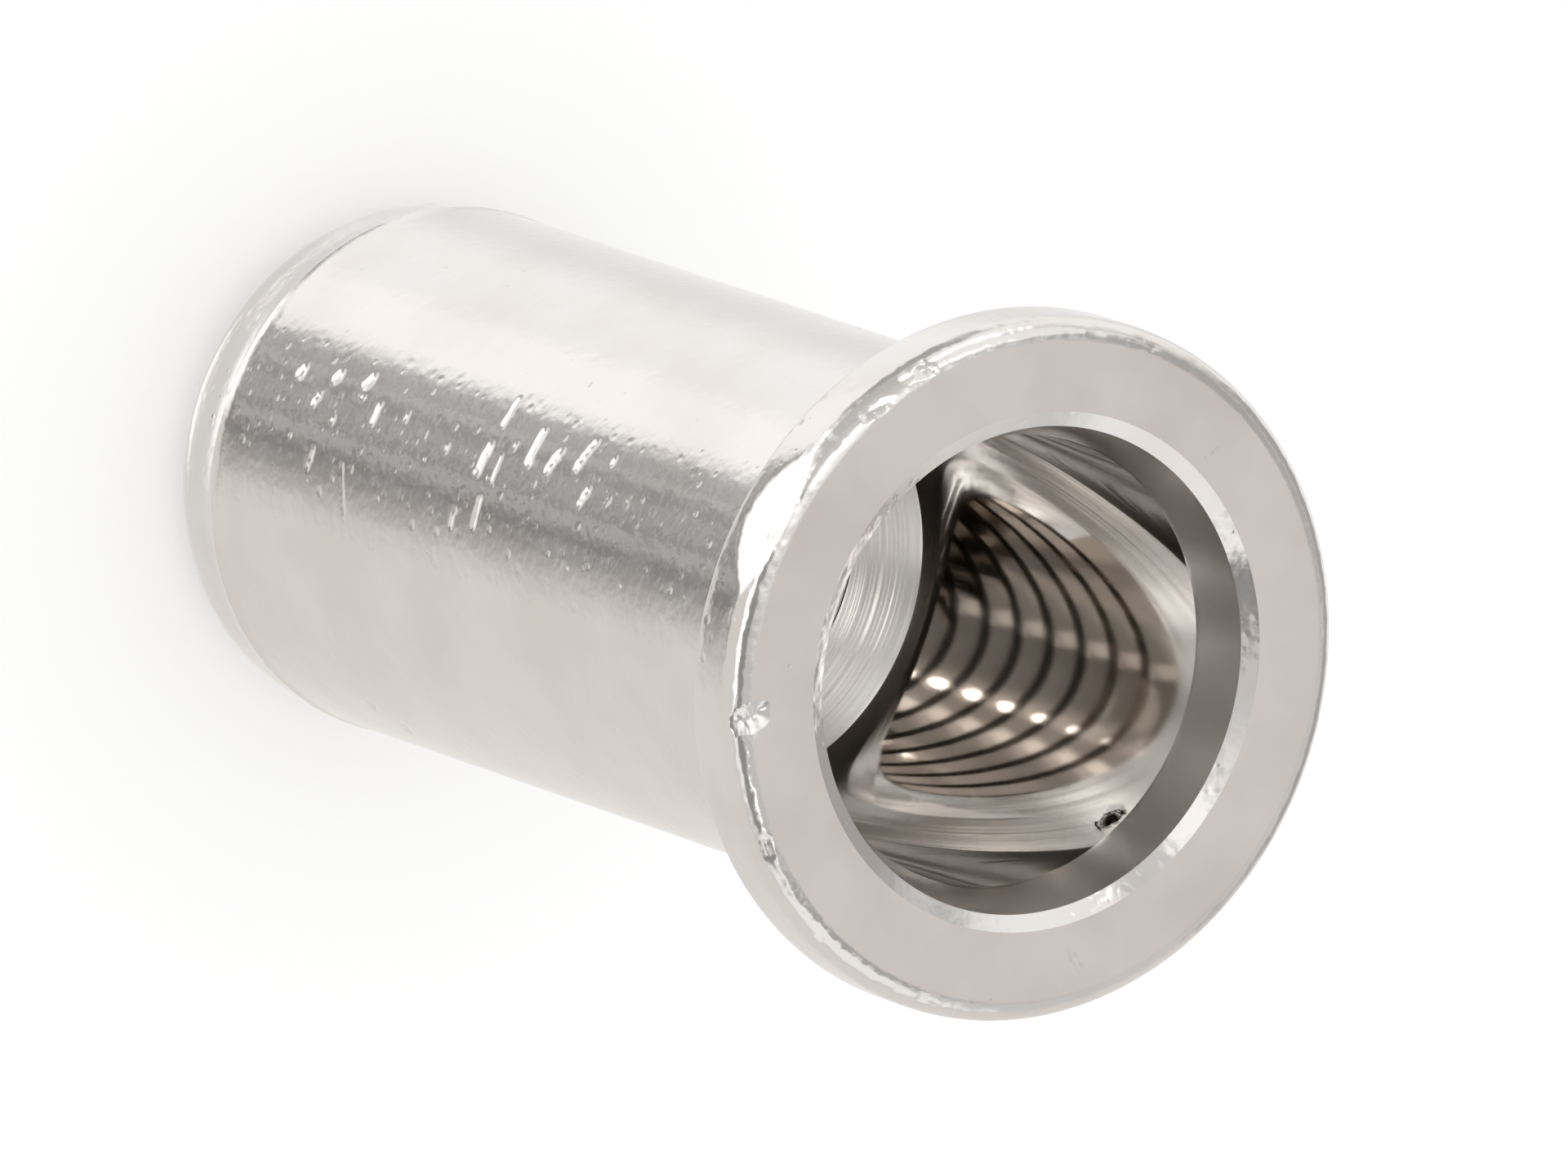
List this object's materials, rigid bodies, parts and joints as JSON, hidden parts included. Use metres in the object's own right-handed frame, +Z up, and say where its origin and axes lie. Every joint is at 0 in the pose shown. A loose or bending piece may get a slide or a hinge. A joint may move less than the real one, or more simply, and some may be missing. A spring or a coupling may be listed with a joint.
{
  "type": "rivet nut",
  "caption": "Open-ended round rivet nut with a flat round head, a smooth thin-walled sleeve under it and an internal thread in the thick tail.",
  "frame": {"origin": "centre of the tail's end face, on the axis of the bore", "axes": "+Z up the axis from the tail to the head; the nut is round, so X and Y are any two directions across it"},
  "size_m": [0.0118, 0.0118, 0.0205],
  "materials": {
    "zinc_plate": "bright zinc plated steel, lightly scratched"
  },
  "bodies": {
    "root": {"rivet_nut": "zinc_plate"}
  },
  "joints": []
}
